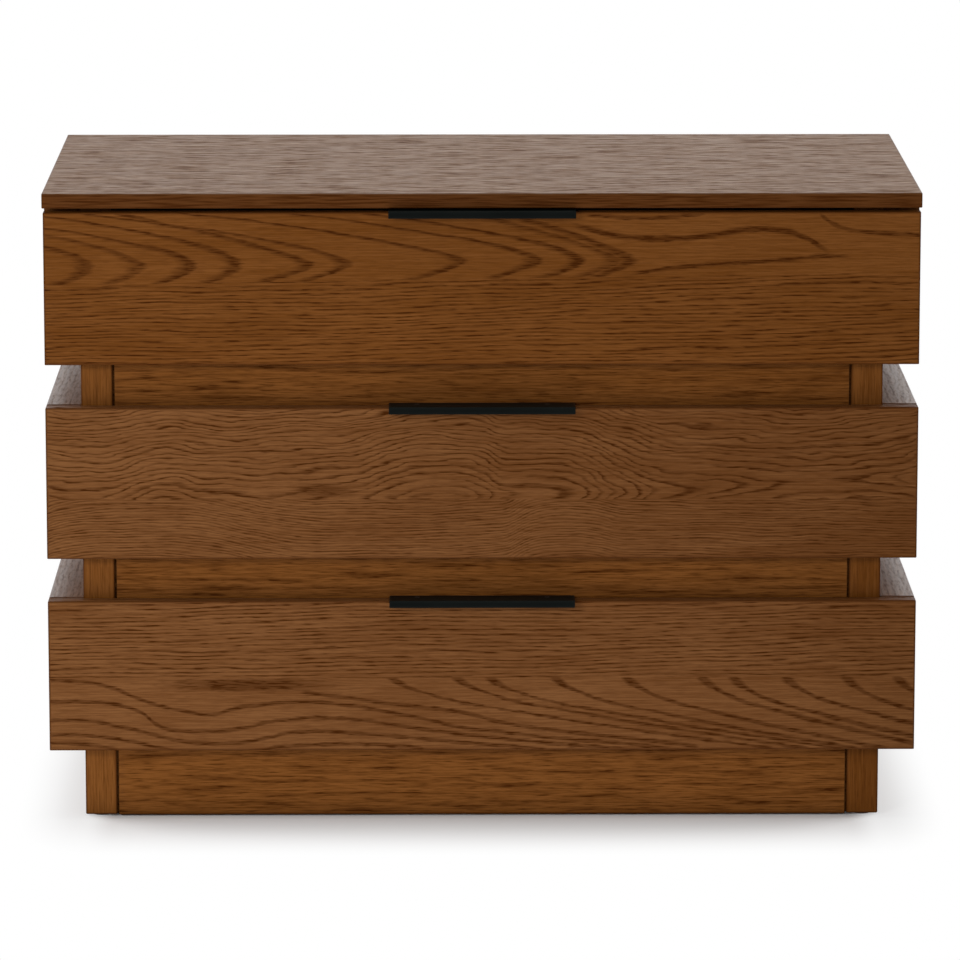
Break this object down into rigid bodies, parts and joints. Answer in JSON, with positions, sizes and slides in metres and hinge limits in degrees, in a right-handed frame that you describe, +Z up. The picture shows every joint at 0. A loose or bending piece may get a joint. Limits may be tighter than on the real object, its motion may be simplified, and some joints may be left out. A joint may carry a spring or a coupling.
{
  "type": "block front chest of drawers",
  "caption": "Low oak chest with wide drawer blocks standing proud of a recessed post and rail case, thin top, black edge pulls and full-extension drawers.",
  "frame": {"origin": "on the floor, under the middle of the whole chest", "axes": "+X to the right along the drawer fronts, +Y to the back, +Z up; the drawers open towards -Y"},
  "size_m": [0.9674, 0.509, 0.707],
  "materials": {
    "oak": "satin",
    "oak_panel": "satin",
    "inner_wood": "matte",
    "drawer_wood": "satin",
    "drawer_ply": "satin",
    "back_board": "matte",
    "black_metal": "satin",
    "slide_steel": "satin",
    "screw_steel": "satin",
    "glide_nylon": "matte",
    "bumper_felt": "matte"
  },
  "bodies": {
    "case": {"top_panel": "oak", "front_post_right": "oak", "front_post_left": "oak", "rear_post_right": "oak", "rear_post_left": "oak", "front_rail_lower": "oak", "front_rail_upper": "oak", "base_rail_front": "oak", "side_block_right_lower": "oak", "side_block_left_lower": "oak", "side_block_right_middle": "oak", "side_block_left_middle": "oak", "side_block_right_upper": "oak", "side_block_left_upper": "oak", "side_panel_right": "oak_panel", "side_panel_left": "oak_panel", "base_rail_rear": "inner_wood", "top_stretcher_front": "inner_wood", "top_stretcher_rear": "inner_wood", "slide_cleats_right": "inner_wood", "slide_cleats_left": "inner_wood", "joint_dowels": "inner_wood", "back_panel": "back_board", "case_screws": "screw_steel", "back_screws": "screw_steel", "floor_glides": "glide_nylon", "drawer_bumpers": "bumper_felt", "slide_outer_lower": "slide_steel", "slide_outer_middle": "slide_steel", "slide_outer_upper": "slide_steel"},
    "lower_drawer": {"drawer_front_lower": "oak", "pull_lower": "black_metal", "drawer_screws_lower": "screw_steel", "box_side_right_lower": "drawer_wood", "box_side_left_lower": "drawer_wood", "box_front_lower": "drawer_wood", "box_back_lower": "drawer_wood", "box_bottom_lower": "drawer_ply", "slide_inner_lower": "slide_steel"},
    "lower_slide_middle": {"slide_middle_lower": "slide_steel"},
    "middle_drawer": {"drawer_front_middle": "oak", "pull_middle": "black_metal", "drawer_screws_middle": "screw_steel", "box_side_right_middle": "drawer_wood", "box_side_left_middle": "drawer_wood", "box_front_middle": "drawer_wood", "box_back_middle": "drawer_wood", "box_bottom_middle": "drawer_ply", "slide_inner_middle": "slide_steel"},
    "middle_slide_middle": {"slide_middle_middle": "slide_steel"},
    "upper_drawer": {"drawer_front_upper": "oak", "pull_upper": "black_metal", "drawer_screws_upper": "screw_steel", "box_side_right_upper": "drawer_wood", "box_side_left_upper": "drawer_wood", "box_front_upper": "drawer_wood", "box_back_upper": "drawer_wood", "box_bottom_upper": "drawer_ply", "slide_inner_upper": "slide_steel"},
    "upper_slide_middle": {"slide_middle_upper": "slide_steel"}
  },
  "joints": [
    {"name": "lower_drawer_slide", "type": "slide", "parent": "case", "child": "lower_drawer", "axis": [0, -1, 0], "range_m": [0, 0.4]},
    {"name": "lower_slide_extension", "type": "slide", "parent": "case", "child": "lower_slide_middle", "axis": [0, -1, 0], "range_m": [0, 0.2]},
    {"name": "middle_drawer_slide", "type": "slide", "parent": "case", "child": "middle_drawer", "axis": [0, -1, 0], "range_m": [0, 0.4]},
    {"name": "middle_slide_extension", "type": "slide", "parent": "case", "child": "middle_slide_middle", "axis": [0, -1, 0], "range_m": [0, 0.2]},
    {"name": "upper_drawer_slide", "type": "slide", "parent": "case", "child": "upper_drawer", "axis": [0, -1, 0], "range_m": [0, 0.4]},
    {"name": "upper_slide_extension", "type": "slide", "parent": "case", "child": "upper_slide_middle", "axis": [0, -1, 0], "range_m": [0, 0.2]}
  ],
  "couplings": [
    {"joint": "lower_slide_extension", "follows": "lower_drawer_slide", "ratio": 0.5},
    {"joint": "middle_slide_extension", "follows": "middle_drawer_slide", "ratio": 0.5},
    {"joint": "upper_slide_extension", "follows": "upper_drawer_slide", "ratio": 0.5}
  ]
}
